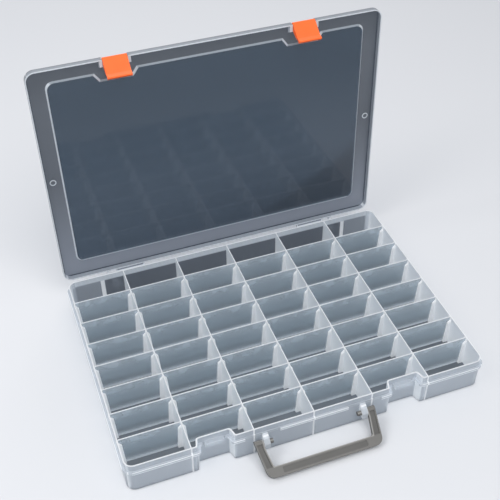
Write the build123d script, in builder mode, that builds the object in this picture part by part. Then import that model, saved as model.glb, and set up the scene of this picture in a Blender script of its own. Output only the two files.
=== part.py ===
"""Compartment storage box: a flat translucent tray with 48 compartments, an open hinged lid with
two latches, a carrying handle and 42 loose cross dividers.

Millimetres. +X runs right along the front, +Y to the rear, +Z up. The origin is the middle of
the tray's underside. Every piece is placed as the box stands open: the lid leans just past
upright, its latches hang inwards, and the handle's grip rests on the table.
"""
from build123d import *
from math import asin, degrees, hypot
import os

# Compartments
columns = 6
rows = 8
column_pitch = 70.0
row_pitch = 36.5
end_margin = 0.3              # extra room in the outermost compartments
long_wall = 1.2               # the fixed walls between the columns
divider_thickness = 1.1
divider_play = 0.25           # gap at each end of a divider
divider_lift = 0.2            # gap under a divider

# Tray
tray_height = 42.0
outer_wall = 1.3
floor_thickness = 1.4
corner_radius = 10.0
rim_height = 8.0              # the rim stands this far over the ledge
ledge_thickness = 3.2
ledge_reach = 3.0             # the ledge stands out this far from the rim
body_step = 0.9               # the body under the ledge stands out this far from the rim
body_draft = 0.6              # the body draws in this much towards the underside
base_edge = 1.6

# Slots that hold the dividers
slot_rib_reach = 5.6          # at the floor
slot_rib_top = 3.6            # where the lead-in ends
slot_rib_start = 4.0          # the ribs begin this far below the rim
slot_rib_width = 2.6
slot_play = 0.12              # gap on each face of a divider
slot_lead = 4.0               # height of the slope that leads a divider in
slot_root = 0.3               # the ribs' feet lie this deep in the walls and floor

# Recesses in the tray's front for the latches
latch_x = 112.6
recess_depth = 10.5
recess_back = 18.0            # half width at the back of the recess
recess_mouth = 21.0           # half width at the front
recess_radius = 3.0
mouth_radius = 2.5
catch_half_width = 10.5
catch_reach = 5.7
catch_drop = 4.4              # from the ledge's top down to the catch's underside
catch_height = 5.0
catch_slot = 2.6              # slot through the ledge beside each catch

# Ledge between the recesses: a tab beside each recess and a short bar in the middle
tab_end = 81.0
bar_half_length = 40.5

# Lid
lid_wall = 1.2
lid_play = 0.3                # gap between the rim and the skirt
seat_play = 0.2               # gap between the closed lid and the tray
skirt_stand = 3.2             # the closed lid's edge stands this far over the ledge
panel_thickness = 1.2
band_rise = 2.0               # the border band stands this much over the panel
panel_side = 20.6             # the panel's edges stand this far inside the rim
panel_front_inset = 18.1
panel_rear_inset = 22.6
panel_radius = 9.0
panel_step = 1.6              # plan width of the slope between band and panel
jog_depth = 9.0
jog_half_width = 19.5
jog_slope = 6.5
lid_edge = 1.6
snap_ring_radius = 4.0
snap_ring_height = 0.8
snap_ring_inset = 8.1

# Lid hinge
hinge_stand = 5.9             # the axis is this far behind the rim's rear face
hinge_drop = 7.2              # and this far below the ledge's top
open_angle = 91.5             # from closed to open
rod_radius = 2.0
rod_play = 0.09
arm_radius = 3.6
arm_front = 2.3               # the arms pass the ledge this far in front of the axis
arm_shoulder = 4.0            # the arms' rear edge ends this far below the closed lid's edge
outer_arm_x = 157.0
outer_arm_width = 2.4
knuckle_inner_x = 108.3
knuckle_outer_x = 145.6
knuckle_wall = 1.4
side_play = 0.6               # gap beside the tray's lug
lug_radius = 4.6
lug_mouth = 3.3               # opening the rod snaps in through
heel_reach = 5.02             # from the axis to the edge that stops the open lid at the tray's wall
heel_stop = 3.5               # how far that edge stands to one side of the axis
heel_swing = 4.85             # the rest of the heel stays inside this radius
heel_back = 2.2
lug_foot_width = 2.4
lug_foot_reach = 4.0

# Latches
latch_half_width = 14.0
latch_wall = 2.0
pin_radius = 1.5
pin_play = 0.09
pin_inset = 2.6               # the pin is this far behind the rim's front face
pin_drop = 4.8                # and this far below the closed lid's top
barrel_radius = 3.4
notch_play = 0.6              # gap between latch and cheek
cheek_thickness = 3.2
cheek_inset = 7.0             # the cheeks' free edge ends this far behind the rim's front face
cheek_seat = 1.2              # depth of the blind holes for the pin
notch_depth = 7.4             # the band is cut back this far from the rim's front face
latch_stand = 2.4             # the latch's face stands this far in front of the rim
latch_length = 27.4
lip_flare = 2.2
hook_height = 3.0
hook_gap = 0.4                # from the locked hook up to the catch
hook_grip = 1.8               # the hook reaches this far under the catch
latch_hang = 37.0             # how far the open latch hangs inwards from its locked place

# Handle and its ears
ear_inner = 54.8
ear_width = 6.5
ear_wall = 1.6
ear_front = 5.2               # radius of the ear round the pin
ear_drop = 0.5                # the ear's top meets the wall this far below the ledge's top
handle_stand = 5.8            # the handle's pins are this far in front of the rim
handle_z = 22.0
handle_pin_radius = 2.8
handle_pin_play = 0.09
handle_pin_stand = 4.5        # the pin stands out past the ear's inner face
leg_play = 0.5
leg_width = 10.0
leg_head = 7.0                # the legs run straight this far past the pin
leg_taper = 4.6               # and then draw in by this much towards the grip
leg_thickness = 6.0
grip_inner = 27.5             # from the pin to the near edge of the grip
grip_outer = 39.0             # from the pin to the far edge of the grip
grip_corner = 9.0
grip_inner_corner = 3.0
grip_panel_half = 50.0
grip_panel_width = 6.6
grip_panel_depth = 0.6
leg_rim = 1.8                 # wall beside the channel in each leg
leg_channel_depth = 1.6
table_play = 0.2              # gap between the resting grip and the table

# Derived sizes
rim_x = columns * column_pitch / 2 + end_margin + outer_wall
rim_y = rows * row_pitch / 2 + end_margin + outer_wall
ledge_top = tray_height - rim_height
recess_floor = rim_y - recess_depth
catch_bottom = ledge_top - catch_drop
lid_bottom = ledge_top + skirt_stand
panel_under = tray_height + seat_play
band_under = panel_under + band_rise
lid_top = band_under + panel_thickness
panel_half_length = rim_x - panel_side
panel_front = -rim_y + panel_front_inset
panel_rear = rim_y - panel_rear_inset
snap_ring_x = rim_x - snap_ring_inset
hinge_y = rim_y + hinge_stand
hinge_z = ledge_top - hinge_drop
pin_y = -rim_y + pin_inset
pin_z = lid_top - pin_drop
notch_rear = -rim_y + notch_depth
latch_face = -rim_y - latch_stand
latch_top = band_under
latch_tip = latch_top - latch_length
hook_top = catch_bottom - hook_gap
hook_bottom = hook_top - hook_height
handle_y = -rim_y - handle_stand
skirt_grow = lid_play + lid_wall
cheek_inner = latch_half_width + notch_play
cheek_outer = cheek_inner + cheek_thickness
hinge_axis = Axis((0, hinge_y, hinge_z), (1, 0, 0))
sides = (("left", -1), ("right", 1))

os.makedirs("parts", exist_ok=True)


def save(part, name):
    """Label one finished piece and write it to its own file."""
    part.label = name
    export_step(part, f"parts/{name}.step")


def box_outline(grow):
    """The box seen from above, with both latch recesses, moved outwards from the rim by grow."""
    back = recess_back - grow
    mouth = recess_mouth - grow
    rear = -recess_floor - grow
    front = -rim_y - grow
    with BuildSketch() as outline:
        RectangleRounded(2 * (rim_x + grow), 2 * (rim_y + grow), corner_radius + grow)
        with Locations((-latch_x, 0), (latch_x, 0)):
            with BuildSketch(mode=Mode.PRIVATE) as recess:
                with BuildLine():
                    Polyline((-back, rear), (back, rear), (mouth, front), (-mouth, front), close=True)
                make_face()
            add(recess.sketch, mode=Mode.SUBTRACT)
        near_latch = outline.vertices().filter_by(lambda v: abs(abs(v.X) - latch_x) < recess_mouth + 9)
        fillet(near_latch.filter_by(lambda v: abs(v.Y - rear) < 0.01), recess_radius - grow / 2)
        near_latch = outline.vertices().filter_by(lambda v: abs(abs(v.X) - latch_x) < mouth + 0.01)
        fillet(near_latch.filter_by(lambda v: abs(v.Y - front) < 0.01), mouth_radius + grow / 2)
    return outline.sketch


def column_walls():
    """The x of the two wall faces of every column, from left to right."""
    half = columns / 2
    faces = []
    for column in range(columns):
        left = (column - half) * column_pitch + long_wall / 2
        right = (column + 1 - half) * column_pitch - long_wall / 2
        if column == 0:
            left = -(rim_x - outer_wall)
        if column == columns - 1:
            right = rim_x - outer_wall
        faces.append((left, right))
    return faces


def divider_rows():
    """The y of every cross divider's middle, from front to rear."""
    return [(row - rows / 2) * row_pitch for row in range(1, rows)]


def slot_ribs():
    """All ribs of the divider slots: a pair on each wall face at every divider."""
    inner = divider_thickness / 2 + slot_play
    outer = inner + slot_rib_width
    rib_top = tray_height - slot_rib_start
    with BuildPart() as rib:
        with BuildSketch(Plane.XZ):
            with BuildLine():
                Polyline(
                    (-slot_root, floor_thickness - slot_root),
                    (slot_rib_reach, floor_thickness - slot_root),
                    (slot_rib_top, rib_top - slot_lead),
                    (0, rib_top),
                    (-slot_root, rib_top),
                    close=True,
                )
            make_face()
        extrude(amount=slot_rib_width)
    turned = rib.part.rotate(Axis.Z, 180)
    ribs = []
    for left, right in column_walls():
        for y in divider_rows():
            ribs += [Pos(left, y - inner, 0) * rib.part, Pos(left, y + outer, 0) * rib.part]
            ribs += [Pos(right, y + inner, 0) * turned, Pos(right, y - outer, 0) * turned]
    return ribs


def make_tray():
    """The tray: body, rim, ledge, compartments, slot ribs, catches, handle ears and hinge lugs."""
    with BuildPart() as tray:
        with BuildSketch():
            add(box_outline(body_step - body_draft))
        with BuildSketch(Plane.XY.offset(ledge_top)):
            add(box_outline(body_step))
        loft(ruled=True)
        chamfer(tray.faces().sort_by(Axis.Z)[0].edges(), base_edge)
        with BuildSketch(Plane.XY.offset(ledge_top - ledge_thickness)):
            add(box_outline(ledge_reach))
            gap = tab_end - bar_half_length
            with Locations((-(tab_end - gap / 2), -rim_y), (tab_end - gap / 2, -rim_y)):
                Rectangle(gap, 2 * ledge_reach + 4, mode=Mode.SUBTRACT)
            slot_x = catch_half_width + catch_slot / 2
            for x in (-latch_x - slot_x, -latch_x + slot_x, latch_x - slot_x, latch_x + slot_x):
                with Locations((x, -recess_floor)):
                    Rectangle(catch_slot, 2 * ledge_reach + 2, mode=Mode.SUBTRACT)
        extrude(amount=ledge_thickness)
        with BuildSketch(Plane.XY.offset(ledge_top - 1)):
            add(box_outline(0))
        extrude(amount=rim_height + 1)

        # The compartments: one long trough for each column, drawn in where the recesses are
        with BuildSketch(Plane.XY.offset(floor_thickness)):
            add(box_outline(-outer_wall))
            for wall in range(1, columns):
                with Locations(((wall - columns / 2) * column_pitch, 0)):
                    Rectangle(long_wall, 2 * rim_y, mode=Mode.SUBTRACT)
        extrude(amount=tray_height, mode=Mode.SUBTRACT)

        # The catches in the recesses
        with BuildSketch(Plane.XY.offset(catch_bottom)):
            with Locations((-latch_x, -recess_floor), (latch_x, -recess_floor)):
                Rectangle(2 * catch_half_width, catch_reach, align=(Align.CENTER, Align.MAX))
        extrude(amount=catch_height)

        # The handle ears: a rounded gusset each, cored out from below
        for _, side in sides:
            x_start = ear_inner if side > 0 else -ear_inner - ear_width
            with BuildSketch(Plane.YZ.offset(x_start)):
                add(ear_outline(0))
            extrude(amount=ear_width)
            with BuildSketch(Plane.YZ.offset(x_start + ear_wall)):
                add(ear_outline(ear_wall))
            extrude(amount=ear_width - 2 * ear_wall, mode=Mode.SUBTRACT)
            with BuildSketch(Plane.YZ.offset(x_start)):
                with Locations((handle_y, handle_z)):
                    Circle(handle_pin_radius + handle_pin_play)
            extrude(amount=ear_width, mode=Mode.SUBTRACT)

        # The hinge lugs: an open snap ring on a web and a foot each
        lug_start = knuckle_outer_x + side_play
        lug_width = outer_arm_x - outer_arm_width / 2 - side_play - lug_start
        wall_y = rim_y + body_step
        inside_wall = rim_y - outer_wall / 2
        for _, side in sides:
            x_start = lug_start if side > 0 else -lug_start - lug_width
            with BuildSketch(Plane.YZ.offset(x_start)):
                with Locations((hinge_y, hinge_z)):
                    Circle(lug_radius)
                with BuildLine():
                    Polyline(
                        (inside_wall, hinge_z - 12),
                        (hinge_y, hinge_z - lug_radius),
                        (hinge_y, hinge_z + lug_radius),
                        (inside_wall, hinge_z + lug_radius),
                        close=True,
                    )
                make_face()
                with Locations((hinge_y, hinge_z)):
                    Circle(rod_radius + rod_play, mode=Mode.SUBTRACT)
                with Locations((hinge_y + lug_radius, hinge_z)):
                    Rectangle(2 * lug_radius, lug_mouth, mode=Mode.SUBTRACT)
            extrude(amount=lug_width)
            with BuildSketch(Plane.XY):
                with Locations((x_start + lug_width / 2, inside_wall)):
                    foot_depth = wall_y + lug_foot_reach - inside_wall
                    Rectangle(lug_foot_width, foot_depth, align=(Align.CENTER, Align.MIN))
            extrude(amount=hinge_z - lug_radius + 1)

        # The slot ribs, a pair on each wall face at every divider
        add(slot_ribs())
    return tray.part


def ear_outline(inset):
    """The side view of a handle ear, drawn in from its outer face by inset and open below."""
    wall = -(rim_y + body_step - body_draft) + 1.2
    front = handle_y - ear_front + inset
    bottom = handle_z - ear_front * (1 if inset == 0 else 1.4)
    with BuildSketch() as side_view:
        with BuildLine():
            Polyline(
                (wall, ledge_top - ear_drop - inset),
                (handle_y - 1, ledge_top - ear_drop - 4.4 - inset),
                (front, handle_z + 2),
                (front, bottom),
                (wall, bottom),
                close=True,
            )
        make_face()
    return side_view.sketch


def divider(left, right):
    """A loose cross divider for the column between two wall faces."""
    length = right - left - 2 * divider_play
    height = tray_height - floor_thickness - divider_lift
    with BuildPart() as plate:
        Box(length, divider_thickness, height, align=(Align.CENTER, Align.CENTER, Align.MIN))
        chamfer(plate.edges().filter_by(Axis.Y).sort_by(Axis.Z)[:2], 1.5)
    return plate.part


def panel_outline(grow):
    """The lid's middle panel seen from above, set back at the front to leave the latches room."""
    front = panel_front - grow
    rear = panel_rear + grow
    back = front + jog_depth
    with BuildSketch() as outline:
        with Locations((0, (front + rear) / 2)):
            RectangleRounded(2 * (panel_half_length + grow), rear - front, panel_radius)
        with Locations((-latch_x, 0), (latch_x, 0)):
            with BuildSketch(mode=Mode.PRIVATE) as jog:
                with BuildLine():
                    inner = jog_half_width - grow
                    outer = inner + jog_slope
                    Polyline((-inner, back), (inner, back), (outer, front), (-outer, front), close=True)
                make_face()
            add(jog.sketch, mode=Mode.SUBTRACT)
    return outline.sketch


def arm_outline():
    """The side view of a hinge arm of the closed lid, round the hinge axis."""
    wall = rim_y + skirt_grow
    with BuildSketch() as side_view:
        with Locations((hinge_y, hinge_z)):
            Circle(arm_radius)
        with BuildLine():
            Polyline(
                (wall - lid_wall / 2, lid_bottom),
                (hinge_y - arm_front, lid_bottom),
                (hinge_y - arm_front, hinge_z),
                (hinge_y + arm_radius, hinge_z),
                (hinge_y + arm_radius, lid_bottom - arm_shoulder),
                (wall + 2, band_under - 1),
                (wall - lid_wall / 2, band_under - 1),
                close=True,
            )
        make_face()
    return side_view.sketch


def make_lid():
    """The lid as it lies closed: skirt, band, panel, latch notches, cheeks and hinge arms."""
    front = -rim_y - skirt_grow
    with BuildPart() as lid:
        with BuildSketch(Plane.XY.offset(lid_bottom)):
            RectangleRounded(2 * (rim_x + skirt_grow), 2 * (rim_y + skirt_grow), corner_radius + skirt_grow)
        extrude(amount=lid_top - lid_bottom)
        fillet(lid.faces().sort_by(Axis.Z)[-1].edges(), lid_edge)
        with BuildSketch(Plane.XY.offset(lid_bottom)):
            RectangleRounded(2 * (rim_x + lid_play), 2 * (rim_y + lid_play), corner_radius + lid_play)
        extrude(amount=band_under - lid_bottom, mode=Mode.SUBTRACT)

        # The panel hangs lower than the band, with a sloping step all round
        for lift, mode in ((0, Mode.ADD), (panel_thickness, Mode.SUBTRACT)):
            with BuildSketch(Plane.XY.offset(panel_under + lift)):
                add(panel_outline(0))
            with BuildSketch(Plane.XY.offset(band_under + lift)):
                add(panel_outline(panel_step))
            loft(ruled=True, mode=mode)

        # A small ring on the band at the middle of each side
        with BuildSketch(Plane.XY.offset(band_under - snap_ring_height)):
            with Locations((-snap_ring_x, 0), (snap_ring_x, 0)):
                Circle(snap_ring_radius)
                Circle(snap_ring_radius - lid_wall, mode=Mode.SUBTRACT)
        extrude(amount=snap_ring_height)

        for _, side in sides:
            # The latch notch and its cheeks, with blind holes for the pin
            with BuildSketch(Plane.XY.offset(lid_bottom)):
                with Locations((side * latch_x, notch_rear)):
                    Rectangle(2 * cheek_inner, notch_rear - front, align=(Align.CENTER, Align.MAX))
            extrude(amount=lid_top - lid_bottom, mode=Mode.SUBTRACT)
            for start in (side * latch_x - cheek_outer, side * latch_x + cheek_inner):
                with BuildSketch(Plane.YZ.offset(start)):
                    with BuildLine():
                        Polyline(
                            (front, lid_bottom),
                            (-rim_y + cheek_inset, lid_bottom),
                            (-recess_floor, band_under + lid_wall / 2),
                            (front + lid_edge, band_under + lid_wall / 2),
                            (front, band_under - lid_wall),
                            close=True,
                        )
                    make_face()
                extrude(amount=cheek_thickness)
            with BuildSketch(Plane.YZ.offset(side * latch_x - cheek_inner - cheek_seat)):
                with Locations((pin_y, pin_z)):
                    Circle(pin_radius + pin_play)
            extrude(amount=2 * (cheek_inner + cheek_seat), mode=Mode.SUBTRACT)

            # The hinge: a hollow knuckle, an outer arm and the rod between them
            knuckle_width = knuckle_outer_x - knuckle_inner_x
            x_start = knuckle_inner_x if side > 0 else -knuckle_outer_x
            with BuildSketch(Plane.YZ.offset(x_start)):
                add(arm_outline())
                with BuildLine():
                    Polyline(
                        (hinge_y - heel_back, hinge_z),
                        (hinge_y - heel_back, hinge_z - heel_swing + 0.5),
                        (hinge_y, hinge_z - heel_swing),
                        (hinge_y + heel_stop, hinge_z - heel_reach),
                        (hinge_y + heel_stop, hinge_z),
                        close=True,
                    )
                make_face()
            extrude(amount=knuckle_width)
            with BuildSketch(Plane.YZ.offset(x_start + knuckle_wall)):
                with BuildLine():
                    Polyline(
                        (rim_y + skirt_grow, lid_bottom),
                        (hinge_y - arm_front, lid_bottom),
                        (hinge_y - arm_front, hinge_z + arm_radius),
                        (hinge_y + arm_radius - knuckle_wall, hinge_z + arm_radius),
                        (hinge_y + arm_radius - knuckle_wall, lid_bottom - arm_shoulder - knuckle_wall / 2),
                        (rim_y + skirt_grow, band_under - 1 - knuckle_wall),
                        close=True,
                    )
                make_face()
            extrude(amount=knuckle_width - 2 * knuckle_wall, mode=Mode.SUBTRACT)
            arm_start = side * outer_arm_x - outer_arm_width / 2
            with BuildSketch(Plane.YZ.offset(arm_start)):
                add(arm_outline())
            extrude(amount=outer_arm_width)
            rod_length = outer_arm_x - knuckle_outer_x + knuckle_wall
            rod_start = knuckle_outer_x - knuckle_wall if side > 0 else -outer_arm_x
            with BuildSketch(Plane.YZ.offset(rod_start)):
                with Locations((hinge_y, hinge_z)):
                    Circle(rod_radius)
            extrude(amount=rod_length)
    return lid.part


def make_latch():
    """A latch in its locked place, centred on x = 0."""
    inner_face = latch_face + latch_wall
    hook_tip = -recess_floor - catch_reach + hook_grip
    with BuildPart() as latch:
        # The plate with its barrel at the top and the finger lip at the bottom
        with BuildSketch(Plane.YZ.offset(-latch_half_width)):
            with Locations((pin_y, pin_z)):
                Circle(barrel_radius)
            with BuildLine():
                Polyline(
                    (latch_face, latch_top - 1.2),
                    (latch_face + 1.2, latch_top),
                    (pin_y, pin_z + barrel_radius),
                    (pin_y, pin_z - barrel_radius),
                    (inner_face, pin_z - barrel_radius - 2),
                    (inner_face, latch_tip + 0.4),
                    (latch_face - lip_flare + 0.6, latch_tip),
                    (latch_face - lip_flare, latch_tip + 1.2),
                    (latch_face, latch_tip + 6),
                    close=True,
                )
            make_face()
        extrude(amount=2 * latch_half_width)
        # Side flanges
        for start in (-latch_half_width, latch_half_width - latch_wall):
            with BuildSketch(Plane.YZ.offset(start)):
                with BuildLine():
                    Polyline(
                        (latch_face + 1, pin_z),
                        (pin_y + barrel_radius * 0.7, pin_z - barrel_radius * 0.7),
                        (latch_face + 5, hook_bottom),
                        (latch_face + 1, latch_tip + 3),
                        close=True,
                    )
                make_face()
            extrude(amount=latch_wall)
        # The hook that springs under the catch
        with BuildSketch(Plane.YZ.offset(-catch_half_width + 0.5)):
            with BuildLine():
                Polyline(
                    (latch_face + 1, hook_bottom),
                    (hook_tip, hook_bottom + 1.4),
                    (hook_tip, hook_top),
                    (latch_face + 1, hook_top),
                    close=True,
                )
            make_face()
        extrude(amount=2 * catch_half_width - 1)
        with BuildSketch(Plane.YZ.offset(-latch_half_width)):
            with Locations((pin_y, pin_z)):
                Circle(pin_radius + pin_play)
        extrude(amount=2 * latch_half_width, mode=Mode.SUBTRACT)
    return latch.part


def make_latch_pin():
    """The pin a latch turns on, centred on x = 0."""
    half = cheek_inner + cheek_seat - pin_play
    with BuildPart() as pin:
        with BuildSketch(Plane.YZ.offset(-half)):
            with Locations((pin_y, pin_z)):
                Circle(pin_radius)
        extrude(amount=2 * half)
    return pin.part


def make_handle():
    """The handle, level, with its legs outside the ears and its pins pointing inwards."""
    leg_inner = ear_inner + ear_width + leg_play
    leg_outer = leg_inner + leg_width
    leg_end = handle_y + leg_thickness / 2 + 1.2
    hole_half = leg_inner - leg_taper * grip_inner / grip_outer
    grip_half = leg_outer - leg_taper
    with BuildPart() as handle:
        with BuildSketch(Plane.XY.offset(handle_z - leg_thickness / 2)):
            with BuildLine():
                FilletPolyline(
                    (-leg_outer, leg_end),
                    (-grip_half, handle_y - grip_outer),
                    (grip_half, handle_y - grip_outer),
                    (leg_outer, leg_end),
                    radius=grip_corner,
                )
                Line((leg_outer, leg_end), (leg_inner, leg_end))
                FilletPolyline(
                    (leg_inner, leg_end),
                    (leg_inner, handle_y - leg_head),
                    (hole_half, handle_y - grip_inner),
                    (-hole_half, handle_y - grip_inner),
                    (-leg_inner, handle_y - leg_head),
                    (-leg_inner, leg_end),
                    radius=grip_inner_corner,
                )
                Line((-leg_inner, leg_end), (-leg_outer, leg_end))
            make_face()
        extrude(amount=leg_thickness)
        ends = handle.faces().filter_by(Axis.Y).sort_by(Axis.Y)[-2:]
        fillet(ends.edges().filter_by(Axis.X), leg_thickness / 2 - 0.2)
        # A shallow panel along the grip and a channel in each leg
        with BuildSketch(Plane.XY.offset(handle_z + leg_thickness / 2)):
            with Locations((0, handle_y - (grip_inner + grip_outer) / 2)):
                RectangleRounded(2 * grip_panel_half, grip_panel_width, 1.2)
        extrude(amount=-grip_panel_depth, mode=Mode.SUBTRACT)
        with BuildSketch(Plane.XY.offset(handle_z + leg_thickness / 2)):
            with BuildLine():
                Polyline(
                    (leg_inner + leg_rim, handle_y - 1),
                    (leg_inner + leg_rim, handle_y - leg_head),
                    (hole_half + leg_rim, handle_y - grip_inner),
                    (hole_half + leg_width - leg_rim, handle_y - grip_inner),
                    (leg_outer - leg_rim, handle_y - 1),
                    close=True,
                )
            make_face()
            mirror(about=Plane.YZ)
        extrude(amount=-leg_channel_depth, mode=Mode.SUBTRACT)
        pin_length = leg_play + ear_width + handle_pin_stand + 1
        for start in (-leg_inner - 1, leg_inner + 1 - pin_length):
            with BuildSketch(Plane.YZ.offset(start)):
                with Locations((handle_y, handle_z)):
                    Circle(handle_pin_radius)
            extrude(amount=pin_length)
    return handle.part


# Tray
save(make_tray(), "tray")

# Lid, swung open about its hinge
save(make_lid().rotate(hinge_axis, -open_angle), "lid")

# Latches and their pins, carried by the lid
latch_axis = Axis((0, pin_y, pin_z), (1, 0, 0))
hanging_latch = make_latch().rotate(latch_axis, latch_hang)
for name, side in sides:
    save((Pos(side * latch_x, 0, 0) * hanging_latch).rotate(hinge_axis, -open_angle), f"latch_{name}")
    save((Pos(side * latch_x, 0, 0) * make_latch_pin()).rotate(hinge_axis, -open_angle), f"latch_pin_{name}")

# Handle, drooping until its grip rests on the table
handle_axis = Axis((0, handle_y, handle_z), (1, 0, 0))
grip_reach = hypot(grip_outer, leg_thickness / 2)
droop = degrees(asin((handle_z - table_play) / grip_reach) - asin(leg_thickness / 2 / grip_reach))
save(make_handle().rotate(handle_axis, droop), "handle")

# Dividers
for column, (left, right) in enumerate(column_walls(), start=1):
    plate = divider(left, right)
    for row, y in enumerate(divider_rows(), start=1):
        save(Pos((left + right) / 2, y, floor_thickness + divider_lift) * plate, f"divider_{column}_{row}")

print(f"handle droop {droop:.2f} degrees, lid top {lid_top:.2f} when closed")
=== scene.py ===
"""A flat organiser case of milky plastic, standing open on a pale table.

The case is put together in the order of a maker's list: tray, cross dividers, lid, latch pins,
latches and handle. The table, the lamps and the camera come last. Lengths are in metres.
"""
import math

import bpy
import numpy as np
from mathutils import Matrix, Vector

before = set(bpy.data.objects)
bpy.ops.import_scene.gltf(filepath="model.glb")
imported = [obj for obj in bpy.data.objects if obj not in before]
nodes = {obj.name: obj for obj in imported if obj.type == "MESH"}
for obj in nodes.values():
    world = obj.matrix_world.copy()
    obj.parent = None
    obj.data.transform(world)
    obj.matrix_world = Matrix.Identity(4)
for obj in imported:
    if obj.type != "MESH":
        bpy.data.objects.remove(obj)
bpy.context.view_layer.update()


# Tray
# One injection moulding of natural polypropylene: floor, outer wall, five long walls, slot ribs,
# ledge, catches, handle ears and hinge lugs. It is milky where it is thick and clearer in the
# thin floor. Every top edge is painted glowing white, for the light that the wall carries up to
# it. The long walls' sides are painted bright, and darker towards the top. The floor and the
# rear wall's inside carry painted shade.

TRAY_MILK = (0.60, 0.65, 0.71)
TRAY_MILK_PALE = (0.66, 0.71, 0.77)
# painted light: the bright colour of the long walls' sideways faces, also used for the seams'
# light stripes
TRAY_WALL = (0.94, 0.97, 0.99)
# painted shade: the long walls' darker colour near the top
TRAY_WALL_TOP_SHADE = (0.80, 0.84, 0.88)
TRAY_RIB = (0.98, 0.985, 0.99)
TRAY_LEDGE = (0.62, 0.66, 0.71)
# painted shade: the rear wall's inside, dark, and a little less dark towards the corners
TRAY_REAR_SHADE = (0.18, 0.20, 0.23)
TRAY_CORNER_SHADE = (0.36, 0.39, 0.43)
# painted shade: the floor's dark milk
TRAY_FLOOR_SHADE = (0.115, 0.14, 0.165)
# painted light: the near-white colour of the top edges, the wall joints and the ledge lines
EDGE_LIGHT_PAINT = (0.95, 0.96, 0.97)
WALL_GLASS = (0.97, 0.98, 0.99)
# painted shade: the floor's dark tint on what shows through it
FLOOR_GLASS_SHADE = (0.42, 0.46, 0.50)
TRAY_ROUGH = (0.24, 0.36)

# A cover is how much of a face is milk. The rest of it is clear and shows what lies behind.
TRAY_COVER = (0.44, 0.52)  # in the clearest and in the densest cloud
WALL_COVER, RIB_COVER, LEDGE_COVER, FLOOR_COVER, EDGE_COVER = 0.84, 0.94, 0.60, 0.55, 0.90
REAR_COVER, BAR_COVER = 0.78, 0.96
EAR_SHARE = 0.3  # how far the handle's ears are painted towards the edges' painted light

PLASTIC_IOR = 1.49
MILK_GLOW = 0.45  # the share of the milk that glows with light from the wall's other side
LAMP_PASS = 0.96  # how much of the milk a lamp's light passes
ROOM_PASS = 0.432  # how much of it the light from dull surfaces passes

COLUMN_PITCH, ROW_PITCH, SEAM_PITCH = 0.070, 0.0365, 0.0018

# Limits between the finishes. Each is a soft step, which starts at its first number and is over
# at its second. Heights count from the table, and the others from the case's middle, unless a
# remark says otherwise.
FLOOR_TOP = (0.0013, 0.0018)
RIM_TOP = (0.0412, 0.0417)
RIB_HALF = (0.0033, 0.0035)  # from the middle of a slot
RIB_REACH = (0.0064, 0.0066)  # from the middle of a long wall
END_RIBS = (0.2044, 0.2046)
RIB_ROWS = (0.138, 0.139)
LONG_WALLS = (0.2106, 0.2108)
# painted shade: the long walls turn darker between these heights
WALL_TOP_SHADE = (0.012, 0.040)
FRONT_WALL = (-0.1470, -0.1468)
SIDE_WALL = (0.2114, 0.2116)
JOINT_HALF = (0.0006, 0.0014)  # from the middle of a long wall
LEDGE_FOOT = (0.0306, 0.0309)
LEDGE_TOP = (0.0341, 0.0343)
LEDGE_FRONT = (-0.1500, -0.1498)
LEDGE_SIDE = (0.2139, 0.2141)
LINES_FOOT = (0.0300, 0.0304)
LOW_LINE = (0.0312, 0.0316)
HIGH_LINE = (0.0334, 0.0338)
EAR_FRONT = (-0.1490, -0.1488)
EAR_SIDE = (0.0620, 0.0622)
REAR_WALL = (0.1460, 0.1462)
REAR_STRIP = (0.0330, 0.0345)
REAR_END = (0.200, 0.208)
REAR_CORNER = (0.170, 0.172)
REAR_BAR = 0.168
BAR_HALF = (0.0022, 0.0030)  # from the middle of a bar
SEAM_HALF = (0.0003, 0.0006)  # from the middle of a seam
WALL_FACING = (0.6, 0.8)  # how squarely a face looks sideways
REAR_FACING = (0.5, 0.7)  # how squarely it looks to the front


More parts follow.
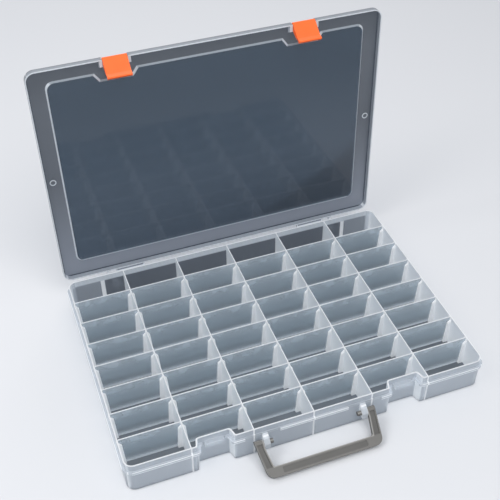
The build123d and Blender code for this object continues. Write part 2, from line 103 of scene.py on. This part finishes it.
class Recipe:
    """A material while it is mixed: its node tree, its colour so far and its cover of milk."""

    def __init__(self, name):
        self.material = bpy.data.materials.new(name)
        self.material.use_nodes = True
        self.tree = self.material.node_tree
        self.tree.nodes.clear()
        where = self.node("ShaderNodeTexCoord")
        self.place, self.facing = where.outputs["Object"], where.outputs["Normal"]
        self.x, self.y, self.z = self.node("ShaderNodeSeparateXYZ", {0: self.place}).outputs

    def node(self, kind, inputs=None, **settings):
        """A new node with its settings, and its inputs set to numbers or joined to sockets."""
        made = self.tree.nodes.new(kind)
        for name, value in settings.items():
            setattr(made, name, value)
        for key, value in (inputs or {}).items():
            self.feed(made.inputs[key], value)
        return made

    def feed(self, socket, value):
        """Sets one input to a number or a colour, or joins it to another node's output."""
        if isinstance(value, bpy.types.NodeSocket):
            self.tree.links.new(value, socket)
        elif isinstance(value, tuple) and len(value) == 3 and socket.type == "RGBA":
            socket.default_value = (*value, 1.0)
        else:
            socket.default_value = value

    def sum(self, operation, a, b=0.0):
        """One step of arithmetic on numbers or outputs."""
        return self.node("ShaderNodeMath", {0: a, 1: b}, operation=operation).outputs[0]

    def away(self, value):
        """How far a number is from 0, whatever its sign."""
        return self.sum("ABSOLUTE", value)

    def rest(self, share):
        """What a share leaves of 1."""
        return self.sum("SUBTRACT", 1.0, share)

    def both(self, *shares):
        """The product of several shares between 0 and 1: all of them have to hold."""
        total = shares[0]
        for share in shares[1:]:
            total = self.sum("MULTIPLY", total, share)
        return total

    def either(self, *shares):
        """The largest of several shares: one of them has to hold."""
        largest = shares[0]
        for share in shares[1:]:
            largest = self.sum("MAXIMUM", largest, share)
        return largest

    def step(self, value, limit, at_low, at_high):
        """A soft step: at_low up to the limit's first number, at_high from its second on."""
        low_light, high = limit
        made = self.node(
            "ShaderNodeMapRange", {0: value, 1: low_light, 2: high, 3: at_low, 4: at_high}, clamp=True
        )
        return made.outputs[0]

    def above(self, value, limit):
        """1 where a value is past the limit, and 0 before it."""
        return self.step(value, limit, 0.0, 1.0)

    def below(self, value, limit):
        """1 where a value is before the limit, and 0 past it."""
        return self.step(value, limit, 1.0, 0.0)

    def noise(self, scale, detail=2.0):
        """Smooth random cloud between 0 and 1, scale lumps to the metre."""
        inputs = {"Vector": self.place, "Scale": scale, "Detail": detail}
        return self.node("ShaderNodeTexNoise", inputs).outputs[0]

    def grain(self, scale, strength, depth, detail=2.0):
        """A fine relief from a cloud, depth in metres."""
        inputs = {"Strength": strength, "Distance": depth, "Height": self.noise(scale, detail)}
        return self.node("ShaderNodeBump", inputs).outputs[0]

    def tint(self, share, a, b):
        """Colour a where share is 0 and b where it is 1."""
        return self.node("ShaderNodeMix", {0: share, 6: a, 7: b}, data_type="RGBA").outputs[2]

    def blend(self, share, a, b):
        """Number a where share is 0 and b where it is 1."""
        return self.node("ShaderNodeMix", {0: share, 2: a, 3: b}, data_type="FLOAT").outputs[0]

    def toward(self, direction):
        """How far the face's own outward direction agrees with a given one, from -1 to 1."""
        inputs = {0: self.facing, 1: direction}
        made = self.node("ShaderNodeVectorMath", inputs, operation="DOT_PRODUCT")
        return made.outputs["Value"]

    def from_axis(self, axis, direction):
        """How far a point lies from an axis along the case, in a direction across it.

        Axis and direction are given by y and z. The distance is the sum of the point's y and z,
        each counted from the axis and taken times the direction's own.
        """
        y, z = self.sum("SUBTRACT", self.y, axis[0]), self.sum("SUBTRACT", self.z, axis[1])
        return self.sum("ADD", self.both(y, direction[0]), self.both(z, direction[1]))

    def lay(self, share, colour=None, cover=None):
        """Lays a finish over those mixed so far: its colour, its cover of milk, or both."""
        if colour is not None:
            self.colour = self.tint(share, self.colour, colour)
        if cover is not None:
            self.cover = self.blend(share, self.cover, cover)

    def skin(self, rough, bump=None):
        """The shader of the plastic's dense surface."""
        inputs = {"Base Color": self.colour, "Roughness": rough, "IOR": PLASTIC_IOR}
        if bump is not None:
            inputs["Normal"] = bump
        return self.node("ShaderNodeBsdfPrincipled", inputs)

    def mix(self, share, a, b):
        """Shader a where share is 0 and b where it is 1."""
        return self.node("ShaderNodeMixShader", {0: share, 1: a.outputs[0], 2: b.outputs[0]})

    def end(self, surface):
        """Joins the last shader to the material's output, and gives the material."""
        self.node("ShaderNodeOutputMaterial", {"Surface": surface.outputs[0]})
        return self.material

    def solid(self, rough, bump=None):
        """Opaque plastic, or any other plain surface."""
        return self.end(self.skin(rough, bump))

    def milky(self, glass, rough, bump):
        """Milky plastic: the cover is how much of each face is milk, the rest is clear.

        Glass tints what shows through the clear part, which also shines. A shadow and the light
        from dull surfaces leave out most of the milk, because milk scatters light onwards.
        """
        inside = self.node("ShaderNodeBsdfTranslucent", {"Color": self.colour, "Normal": bump})
        milk = self.mix(MILK_GLOW, self.skin(rough, bump), inside)
        path = self.node("ShaderNodeLightPath").outputs
        to_lamp = self.both(path["Is Shadow Ray"], LAMP_PASS)
        to_room = self.both(path["Is Diffuse Ray"], ROOM_PASS)
        clear = self.node("ShaderNodeBsdfTransparent", {"Color": glass})
        shine = self.node("ShaderNodeBsdfGlossy", {"Roughness": rough, "Normal": bump})
        mirror = self.node("ShaderNodeFresnel", {"IOR": PLASTIC_IOR, "Normal": bump}).outputs[0]
        clear = self.mix(self.both(mirror, self.rest(to_lamp)), clear, shine)
        cover = self.both(self.cover, self.rest(self.either(to_lamp, to_room)))
        return self.end(self.mix(cover, clear, milk))


def wear(node, material):
    """Puts one material on all of a CAD node."""
    ob = nodes[node]
    ob.data.materials.clear()
    ob.data.materials.append(material)
    for polygon in ob.data.polygons:
        polygon.material_index = 0


def tray_plastic():
    """The tray's plastic, told apart by place and facing: floor, ribs, walls, ledge and edges."""
    r = Recipe("tray_polypropylene")
    wide, deep = r.away(r.x), r.away(r.y)
    from_wall = r.sum("PINGPONG", r.x, COLUMN_PITCH / 2)
    from_slot = r.sum("PINGPONG", r.y, ROW_PITCH / 2)
    floor = r.below(r.z, FLOOR_TOP)
    beside_wall = r.either(r.below(from_wall, RIB_REACH), r.above(wide, END_RIBS))
    rib = r.both(r.below(from_slot, RIB_HALF), beside_wall, r.below(deep, RIB_ROWS))
    sideways = r.above(r.away(r.toward((1.0, 0.0, 0.0))), WALL_FACING)
    lit_wall = r.both(sideways, r.below(wide, LONG_WALLS))

    front = r.below(r.y, FRONT_WALL)
    ledge = r.both(
        r.above(r.z, LEDGE_FOOT),
        r.below(r.z, LEDGE_TOP),
        r.either(front, r.above(wide, SIDE_WALL)),
    )
    # painted highlights along the ledge's upper and lower edges
    ledge_highlights = r.both(
        r.either(r.below(r.y, LEDGE_FRONT), r.above(wide, LEDGE_SIDE)),
        r.either(r.both(r.above(r.z, HIGH_LINE), ledge), r.below(r.z, LOW_LINE)),
        r.above(r.z, LINES_FOOT),
    )
    ears = r.both(r.below(r.y, EAR_FRONT), r.below(wide, EAR_SIDE))
    # painted light: top edges, the long walls' joints seen through the front wall, the ledge
    # lines, and partway the handle's ears
    painted_light = r.either(
        r.both(r.below(from_wall, JOINT_HALF), front),
        r.above(r.z, RIM_TOP),
        ledge_highlights,
        r.both(ears, EAR_SHARE),
    )

    rear = r.both(r.above(r.y, REAR_WALL), r.above(r.toward((0.0, -1.0, 0.0)), REAR_FACING))
    upper = r.above(r.z, REAR_STRIP)
    lower = r.both(rear, r.rest(upper))
    beside_bar = r.above(r.away(r.sum("SUBTRACT", wide, REAR_BAR)), BAR_HALF)
    bar = r.both(lower, r.rest(beside_bar))
    # painted shade on the rear wall's inside, between the bars and the ends, below the upper
    # strip
    rear_shade = r.both(lower, r.below(wide, REAR_END), beside_bar)
    seam = r.above(r.sum("PINGPONG", r.z, SEAM_PITCH / 2), SEAM_HALF)

    cloud = r.noise(9.0, detail=3.0)
    r.colour = r.tint(cloud, TRAY_MILK, TRAY_MILK_PALE)
    r.cover = r.blend(cloud, *TRAY_COVER)
    # painted light: the long walls' sideways faces are painted bright
    r.lay(lit_wall, TRAY_WALL, WALL_COVER)
    # painted shade: the long walls darker towards the top
    r.lay(r.both(lit_wall, r.above(r.z, WALL_TOP_SHADE)), TRAY_WALL_TOP_SHADE)
    r.lay(rib, TRAY_RIB, RIB_COVER)
    r.lay(ledge, TRAY_LEDGE, LEDGE_COVER)
    r.lay(rear, cover=REAR_COVER)
    r.lay(r.both(rear, upper), r.tint(seam, TRAY_WALL, TRAY_MILK))
    # painted shade: the rear wall's inside painted dark, less dark near the corners
    r.lay(rear_shade, TRAY_REAR_SHADE)
    r.lay(r.both(rear_shade, r.above(wide, REAR_CORNER)), TRAY_CORNER_SHADE)
    r.lay(bar, TRAY_RIB, BAR_COVER)
    # painted shade: the floor painted dark
    r.lay(floor, TRAY_FLOOR_SHADE, FLOOR_COVER)
    # lays the painted light of the edges, joints, ledge lines and ears
    r.lay(painted_light, EDGE_LIGHT_PAINT, EDGE_COVER)
    # the floor's tint on what shows through it is painted dark too
    glass = r.tint(floor, WALL_GLASS, FLOOR_GLASS_SHADE)
    bump = r.grain(420.0, strength=0.25, depth=0.0002)
    return r.milky(glass, r.blend(cloud, *TRAY_ROUGH), bump)


wear("tray", tray_plastic())


# Cross dividers
# Forty-two loose plates of the same plastic, a little over a millimetre thick. Each drops into
# the slots between two pairs of ribs. They are smoother than the tray. Faint bright patches of
# painted sheen lie along their upper halves, and they are painted paler towards the top.

DIVIDER_MILK = (0.74, 0.89, 1.0)
DIVIDER_MILK_PALE = (0.80, 0.92, 1.0)
# painted light: the dividers' paler colour towards the top
DIVIDER_TOP_LIGHT = (0.95, 0.98, 1.0)
DIVIDER_FOOT = (0.75, 0.79, 0.83)
DIVIDER_GLASS = (0.97, 0.982, 0.995)
DIVIDER_ROUGH = 0.22

DIVIDER_COVER = (0.165, 0.205)
FOOT_COVER, TOP_COVER = 0.75, 0.95
TOP_LIGHT_COVER, SHEEN_COVER = 0.07, 0.08  # added to the cover by the painted light at the top and by the painted sheen in a patch
TOP_LIGHT_SHARE = 0.45  # how far the painted light turns the colour pale towards the top
FADE_SHARE = 0.45  # how much of the cover is left at the foot

FOOT_TOP = (0.0024, 0.0030)
FOOT_FADE = (0.003, 0.016)
TOP_LIGHT_RISE = (0.022, 0.041)
PATCH_FOOT = (0.028, 0.034)
PATCH_EDGE = (0.50, 0.56)  # where the cloud is dense enough for a patch


def divider_plastic():
    """The dividers' plastic, painted paler towards its top edge, which is painted bright, with a
    thin light line below.
    """
    r = Recipe("divider_polypropylene")
    cloud = r.noise(14.0)
    # painted sheen: faint bright patches of denser milk on the upper halves
    painted_sheen = r.both(r.above(r.noise(55.0), PATCH_EDGE), r.above(r.z, PATCH_FOOT))
    r.colour = r.tint(cloud, DIVIDER_MILK, DIVIDER_MILK_PALE)
    r.cover = r.both(r.blend(cloud, *DIVIDER_COVER), r.step(r.z, FOOT_FADE, FADE_SHARE, 1.0))
    r.cover = r.sum("ADD", r.cover, r.both(painted_sheen, SHEEN_COVER))
    # painted light: more milk and a paler colour towards the top
    r.cover = r.sum("ADD", r.cover, r.step(r.z, TOP_LIGHT_RISE, 0.0, TOP_LIGHT_COVER))
    r.lay(r.step(r.z, TOP_LIGHT_RISE, 0.0, TOP_LIGHT_SHARE), DIVIDER_TOP_LIGHT)
    r.lay(r.below(r.z, FOOT_TOP), DIVIDER_FOOT, FOOT_COVER)
    # the top edge takes the edges' painted light
    r.lay(r.above(r.z, RIM_TOP), EDGE_LIGHT_PAINT, TOP_COVER)
    bump = r.grain(300.0, strength=0.12, depth=0.0002)
    return r.milky(DIVIDER_GLASS, DIVIDER_ROUGH, bump)


divider_material = divider_plastic()
for name in nodes:
    if name.startswith("divider_"):
        wear(name, divider_material)


# Lid
# A shallow moulded cover of the same plastic, snapped on at the rear by its hinge rods. Its
# border band has a fine frosted grain, and the middle panel is glossy and clearer, painted dark
# for the shade that shows through it. The sloping step between them and the free edge carry
# painted highlights, and the band and panel are painted paler towards the hinge.

LID_BAND = (0.13, 0.145, 0.165)
LID_BAND_PALE = (0.17, 0.185, 0.205)
# painted shade: the panel's dark colour, also laid on the border's flat faces
LID_PANEL_SHADE = (0.055, 0.075, 0.10)
# painted light: the paler colour of the band and panel towards the hinge
LID_LOW_LIGHT = (0.46, 0.49, 0.55)
# painted highlight: the sloping step's colour
LID_STEP_HIGHLIGHT = (0.50, 0.54, 0.58)
LID_SKIRT = (0.44, 0.47, 0.51)
# painted highlight: the brightest edges of the lid
LID_EDGE_HIGHLIGHT = (0.86, 0.89, 0.92)
BAND_GLASS = (0.50, 0.53, 0.57)
# painted shade: the panel's dark tint on what shows through it
PANEL_GLASS_SHADE = (0.36, 0.43, 0.50)
BAND_ROUGH, PANEL_ROUGH = 0.45, 0.07
BAND_GRAIN, PANEL_GRAIN = 0.3, 0.0

LID_COVER = (0.50, 0.58)
PANEL_COVER, PANEL_END_COVER, STEP_COVER, RING_COVER = 0.42, 0.70, 0.85, 0.85
SKIRT_COVER, FREE_EDGE_COVER = 0.70, 0.94
PANEL_LIGHT_SHARE, FRONT_LIGHT_SHARE = 0.2, 0.12  # how far the painted light turns the panel and the front band pale

LID_TURN = math.radians(91.5)
LID_AXIS = (0.1535, 0.0268)

# Limits on the shut lid. Front, rear and the shades lie along its depth.
PANEL_SIDE = (0.1990, 0.1992)
PANEL_FRONT = (-0.1350, -0.1348)
PANEL_REAR = (0.1300, 0.1302)
PANEL_TOP = (0.0436, 0.0438)
PANEL_END = (0.1237, 0.1241)
PANEL_END_SIDE = (0.184, 0.188)
BORDER_SIDE = (0.2100, 0.2110)
BORDER_FRONT = (-0.1465, -0.1455)
BORDER_REAR = (0.1455, 0.1465)
SKIRT_TOP = (0.0432, 0.0440)
RING_TOP = (0.0437, 0.0440)
FREE_EDGE = (0.0376, 0.0380)
BAND_SHADE = (-0.02, 0.13)
PANEL_SHADE = (-0.08, 0.03)
FRONT_SHADE = (-0.128, -0.100)
STEP_SHADE = (0.0, 0.1)
LEVEL_FACING = (0.90, 0.93)  # how squarely a face looks up or down
SLOPE_FACING = (0.45, 0.50)
SKIRT_FACING = (0.45, 0.55)
STEP_FACING = (0.25, 0.35)  # how squarely it looks sideways


def lid_plastic():
    """The lid's plastic, told apart by where each point lies when the lid is turned shut."""
    r = Recipe("lid_polypropylene")
    cosine, sine = math.cos(LID_TURN), math.sin(LID_TURN)
    along = r.sum("ADD", LID_AXIS[0], r.from_axis(LID_AXIS, (cosine, -sine)))
    height = r.sum("ADD", LID_AXIS[1], r.from_axis(LID_AXIS, (sine, cosine)))
    wide = r.away(r.x)
    upright = r.away(r.toward((0.0, sine, cosine)))
    level = r.above(upright, LEVEL_FACING)

    inside = r.both(
        r.below(wide, PANEL_SIDE), r.above(along, PANEL_FRONT), r.below(along, PANEL_REAR)
    )
    panel = r.both(inside, r.below(height, PANEL_TOP), level)
    band = r.rest(panel)
    slope = r.both(inside, r.below(upright, LEVEL_FACING), r.above(upright, SLOPE_FACING))
    # painted highlight: a thin bright line along the panel's rear end
    panel_end_highlight = r.both(panel, r.above(along, PANEL_END), r.below(wide, PANEL_END_SIDE))
    border = r.either(
        r.above(wide, BORDER_SIDE), r.below(along, BORDER_FRONT), r.above(along, BORDER_REAR)
    )
    skirt = r.both(r.below(height, SKIRT_TOP), r.below(upright, SKIRT_FACING), border)
    # painted highlight on the ring between the panel and the border
    ring_highlight = r.both(r.rest(inside), r.rest(border), r.below(height, RING_TOP))
    sideways = r.above(r.away(r.toward((1.0, 0.0, 0.0))), STEP_FACING)
    # painted light: the band paler towards the hinge, and the panel partly so
    low_light = r.sum(
        "ADD",
        r.both(band, r.above(along, BAND_SHADE)),
        r.both(panel, r.step(along, PANEL_SHADE, 0.0, PANEL_LIGHT_SHARE)),
    )
    # painted light: the band a little paler, except near its front edge
    front = r.both(band, r.step(along, FRONT_SHADE, 0.0, FRONT_LIGHT_SHARE))

    cloud = r.noise(7.0, detail=3.0)
    r.colour = r.tint(cloud, LID_BAND, LID_BAND_PALE)
    r.cover = r.blend(cloud, *LID_COVER)
    # painted shade: the panel painted dark
    r.lay(panel, LID_PANEL_SHADE, PANEL_COVER)
    # lays the painted light towards the hinge and on the band
    r.lay(r.either(low_light, front), LID_LOW_LIGHT)
    # painted highlight: the sloping step painted bright
    r.lay(slope, LID_STEP_HIGHLIGHT, STEP_COVER)
    # painted highlight: brighter still where the slope faces sideways or lies towards the hinge
    r.lay(r.both(slope, r.either(sideways, r.above(along, STEP_SHADE))), LID_EDGE_HIGHLIGHT)
    # painted highlight along the panel's rear end
    r.lay(panel_end_highlight, LID_EDGE_HIGHLIGHT, PANEL_END_COVER)
    # painted highlight on the ring
    r.lay(ring_highlight, LID_EDGE_HIGHLIGHT, RING_COVER)
    # painted shade: the border's flat faces take the panel's dark colour
    r.lay(r.both(border, level), LID_PANEL_SHADE)
    r.lay(skirt, LID_SKIRT, SKIRT_COVER)
    # painted highlight: the free edge painted bright
    r.lay(r.below(height, FREE_EDGE), LID_EDGE_HIGHLIGHT, FREE_EDGE_COVER)
    # the panel's tint on what shows through it is painted dark
    glass = r.tint(panel, BAND_GLASS, PANEL_GLASS_SHADE)
    rough = r.blend(panel, BAND_ROUGH, PANEL_ROUGH)
    strength = r.blend(panel, BAND_GRAIN, PANEL_GRAIN)
    return r.milky(glass, rough, r.grain(900.0, strength, depth=0.0002, detail=1.0))


wear("lid", lid_plastic())


# Latch pins
# A short round pin of natural plastic for each latch. It is pushed through the latch's barrel and
# held at both ends in blind holes in the cheeks of the lid's notch.

PIN_MILK = (0.72, 0.74, 0.77)
PIN_MILK_PALE = (0.80, 0.82, 0.84)
PIN_ROUGH = 0.35


def pin_plastic():
    """Natural plastic, thick enough to look nearly solid."""
    r = Recipe("pin_polypropylene")
    r.colour = r.tint(r.noise(200.0), PIN_MILK, PIN_MILK_PALE)
    return r.solid(PIN_ROUGH, r.grain(600.0, strength=0.2, depth=0.0001))


pin_material = pin_plastic()
for side in ("left", "right"):
    wear(f"latch_pin_{side}", pin_material)


# Latches
# Two snap latches of opaque orange plastic with a satin skin, each moulded in one piece. They
# hang on their pins at the lid's front edge and hook under the tray's catches.

LATCH_ORANGE = (0.95, 0.12, 0.010)
LATCH_ORANGE_PALE = (0.97, 0.145, 0.018)
LATCH_ROUGH = (0.34, 0.44)


def latch_plastic():
    """Satin orange, a little lighter in faint flow clouds."""
    r = Recipe("latch_orange")
    r.colour = r.tint(r.noise(60.0, detail=3.0), LATCH_ORANGE, LATCH_ORANGE_PALE)
    rough = r.blend(r.noise(30.0), *LATCH_ROUGH)
    return r.solid(rough, r.grain(500.0, strength=0.2, depth=0.0001))


latch_material = latch_plastic()
for side in ("left", "right"):
    wear(f"latch_{side}", latch_material)


# Handle
# A moulded bail of warm grey plastic, with a sunk strip along the grip and a channel in each leg.
# Its two short pins snap into the tray's ears from outside, and it droops until the grip rests
# on the table.

HANDLE_GREY = (0.066, 0.064, 0.059)
HANDLE_GREY_PALE = (0.082, 0.080, 0.074)
# painted light: the rims' lighter grey, so that the sunk channels look shaded
HANDLE_RIM_LIGHT = (0.120, 0.117, 0.109)
# painted highlight: the pale colour of the handle's edges
HANDLE_EDGE_HIGHLIGHT = (0.30, 0.295, 0.28)
HANDLE_ROUGH = (0.40, 0.52)
INNER_HIGHLIGHT_SHARE = 0.7  # how far the legs' inner rims are painted towards the edge highlight

HANDLE_DROOP = math.radians(29.47)
HANDLE_AXIS = (-0.1534, 0.022)

LEG_TAPER = (0.007, 0.0275)  # from the pins towards the grip
LEG_SIDES = (0.0618, 0.0586)  # the legs' inner sides where the taper starts and ends
LEG_EDGE = (0.0008, 0.0011)  # from a leg's inner side
LEG_END = (0.0283, 0.0286)  # from the pins towards the grip
RIM_LEVEL = (0.0026, 0.0028)  # from the middle of the handle's thickness
EDGE_LEVEL = (0.0018, 0.0026)
HANDLE_FACING = (0.80, 0.90)  # how squarely a face looks out of the handle's plane


def handle_plastic():
    """Warm grey with a fine matt grain, with painted light on the rims and painted highlights
    along their edges.
    """
    r = Recipe("handle_grey")
    cosine, sine = math.cos(HANDLE_DROOP), math.sin(HANDLE_DROOP)
    level = r.away(r.from_axis(HANDLE_AXIS, (-sine, cosine)))
    reach = r.from_axis(HANDLE_AXIS, (-cosine, -sine))
    flat = r.above(r.away(r.toward((0.0, -sine, cosine))), HANDLE_FACING)
    # the rims' flat faces, which take painted light
    lit_rim = r.both(flat, r.above(level, RIM_LEVEL))
    from_leg = r.sum("SUBTRACT", r.away(r.x), r.step(reach, LEG_TAPER, *LEG_SIDES))
    # painted highlight along the legs' inner edges
    inner_highlight = r.both(lit_rim, r.below(from_leg, LEG_EDGE), r.below(reach, LEG_END))
    # painted highlight on the rims' side faces
    edge_highlight = r.both(r.rest(flat), r.above(level, EDGE_LEVEL))
    r.colour = r.tint(r.noise(40.0, detail=3.0), HANDLE_GREY, HANDLE_GREY_PALE)
    # painted light on the rims
    r.lay(lit_rim, HANDLE_RIM_LIGHT)
    # lays the painted highlights on the edges
    r.lay(r.either(edge_highlight, r.both(inner_highlight, INNER_HIGHLIGHT_SHARE)), HANDLE_EDGE_HIGHLIGHT)
    rough = r.blend(r.noise(90.0), *HANDLE_ROUGH)
    return r.solid(rough, r.grain(1500.0, strength=0.35, depth=0.0001))


wear("handle", handle_plastic())


# Table, lamps and camera
# A pale table, three soft lamps from the left, the front and behind, all from above, and the view
# of the open case from its front left.

TABLE_GREY = (0.62, 0.63, 0.65)
TABLE_ROUGH = 0.5
TABLE_HALF = 4.0


def table_top():
    """A large plain square of the table at height 0."""
    near, far = -TABLE_HALF, TABLE_HALF
    mesh = bpy.data.meshes.new("table")
    square = [(near, near, 0), (far, near, 0), (far, far, 0), (near, far, 0)]
    mesh.from_pydata(square, [], [(0, 1, 2, 3)])
    table = bpy.data.objects.new("table", mesh)
    bpy.context.scene.collection.objects.link(table)
    r = Recipe("table_pale")
    r.colour = TABLE_GREY
    mesh.materials.append(r.solid(TABLE_ROUGH))


table_top()

LAMP_TARGET = (0, 0, 0.1)
ROOM_COLOUR = (0.93, 0.95, 1.0, 1.0)
ROOM_STRENGTH = 0.55


def soft_lamp(name, place, size, power):
    """A square soft box that faces the case: its size in metres, its power in watts."""
    lamp = bpy.data.lights.new(name, "AREA")
    lamp.size, lamp.energy = size, power
    ob = bpy.data.objects.new(name, lamp)
    ob.location = place
    ob.rotation_euler = (Vector(place) - Vector(LAMP_TARGET)).to_track_quat("Z", "Y").to_euler()
    bpy.context.scene.collection.objects.link(ob)


soft_lamp("side", place=(-1.5, -0.15, 2.0), size=1.3, power=30)
soft_lamp("front", place=(0.3, -1.2, 2.1), size=1.3, power=26)
soft_lamp("back", place=(0.3, 1.6, 1.8), size=1.2, power=10)

world = bpy.data.worlds.new("studio")
bpy.context.scene.world = world
world.use_nodes = True
world.node_tree.nodes["Background"].inputs[0].default_value = ROOM_COLOUR
world.node_tree.nodes["Background"].inputs[1].default_value = ROOM_STRENGTH

VIEW_TURN, VIEW_DIP, VIEW_ROLL = -19.70, 41.485, -0.671
VIEW_PLACE = (-0.26994, -0.69985, 0.81795)
FILM_WIDTH, LENS = 36.0, 64.25  # in millimetres


def stand_camera():
    """The camera, from its turn about the case, its dip below level and its small roll."""
    turn, dip, roll = (math.radians(a) for a in (VIEW_TURN, VIEW_DIP, VIEW_ROLL))
    back = np.array(
        [math.sin(turn) * math.cos(dip), -math.cos(turn) * math.cos(dip), math.sin(dip)]
    )
    right = np.cross((0, 0, 1), back)
    right /= np.linalg.norm(right)
    up = np.cross(back, right)
    right, up = (
        math.cos(roll) * right + math.sin(roll) * up,
        math.cos(roll) * up - math.sin(roll) * right,
    )
    camera = bpy.data.cameras.new("camera")
    camera.sensor_width = FILM_WIDTH
    camera.lens = LENS
    ob = bpy.data.objects.new("camera", camera)
    turned = np.column_stack((right, up, back))
    ob.matrix_world = Matrix.Translation(VIEW_PLACE) @ Matrix(turned.tolist()).to_4x4()
    bpy.context.scene.collection.objects.link(ob)
    bpy.context.scene.camera = ob


stand_camera()
bpy.context.scene.view_settings.view_transform = "Standard"
